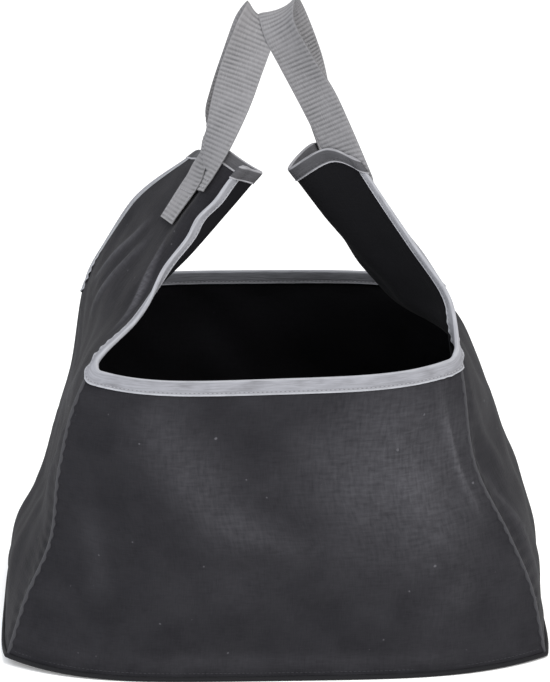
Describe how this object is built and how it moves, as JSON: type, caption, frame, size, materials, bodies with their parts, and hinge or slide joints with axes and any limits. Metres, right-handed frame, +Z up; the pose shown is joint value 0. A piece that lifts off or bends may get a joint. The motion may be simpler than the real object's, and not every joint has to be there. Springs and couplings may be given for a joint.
{
  "type": "log bag",
  "caption": "Soft canvas log bag that stands by itself, with low bound rims at front and back, tall leaning side flaps and webbing carry handles that meet on top.",
  "frame": {"origin": "on the floor, under the middle of the base", "axes": "+Z up, +X to the right across the front panel, +Y from the front panel to the back panel"},
  "size_m": [0.53, 0.398, 0.6216],
  "materials": {
    "canvas": "matte anthracite woven canvas, black on its inner face",
    "tape": "light grey woven edge binding, stitched",
    "webbing": "grey ribbed webbing"
  },
  "bodies": {
    "root": {"base_panel": "canvas", "front_panel": "canvas", "front_rim_tape": "tape", "back_panel": "canvas", "back_rim_tape": "tape", "left_panel": "canvas", "left_top_tape": "tape", "left_handle": "webbing", "left_front_tape": "tape", "left_front_seam": "canvas", "left_back_tape": "tape", "left_back_seam": "canvas", "right_panel": "canvas", "right_top_tape": "tape", "right_handle": "webbing", "right_front_tape": "tape", "right_front_seam": "canvas", "right_back_tape": "tape", "right_back_seam": "canvas"}
  },
  "joints": []
}
